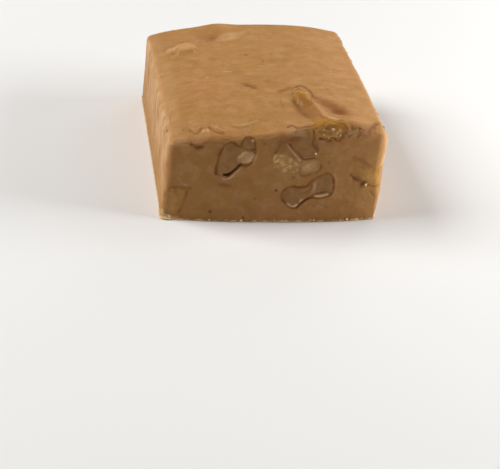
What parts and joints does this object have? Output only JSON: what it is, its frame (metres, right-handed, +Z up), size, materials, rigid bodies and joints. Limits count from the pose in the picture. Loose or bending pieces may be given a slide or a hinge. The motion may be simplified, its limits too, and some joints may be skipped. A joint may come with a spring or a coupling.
{
  "type": "maple walnut fudge square",
  "caption": "Hand-cut square of tan fudge with a smooth skin on top and pale walnut pieces sliced through at its cut sides.",
  "frame": {"origin": "middle of the flat base", "axes": "+X to the right along the front cut, +Y from the front cut to the back cut, +Z up to the skin"},
  "size_m": [0.0512, 0.06, 0.0264],
  "materials": {
    "fudge": "smooth dry fudge with a faint sheen on the skin and a finer matt grain on the cuts",
    "cut_walnut": "walnut sliced through, grey-brown with a thin dark skin round it",
    "golden_walnut": "walnut with its own golden skin, slightly glossy"
  },
  "bodies": {
    "root": {"fudge_block": "fudge", "walnut_front_left": "cut_walnut", "walnut_front_middle": "cut_walnut", "walnut_front_upper": "cut_walnut", "walnut_front_lower": "cut_walnut", "walnut_front_right_corner": "golden_walnut", "walnut_base_corner": "cut_walnut", "walnut_top_edge": "golden_walnut", "walnut_top_sunk": "golden_walnut", "walnut_right_front": "cut_walnut", "walnut_right_middle": "cut_walnut", "walnut_right_back": "cut_walnut", "walnut_back_right": "cut_walnut", "walnut_back_middle": "cut_walnut", "walnut_back_left": "cut_walnut"}
  },
  "joints": []
}
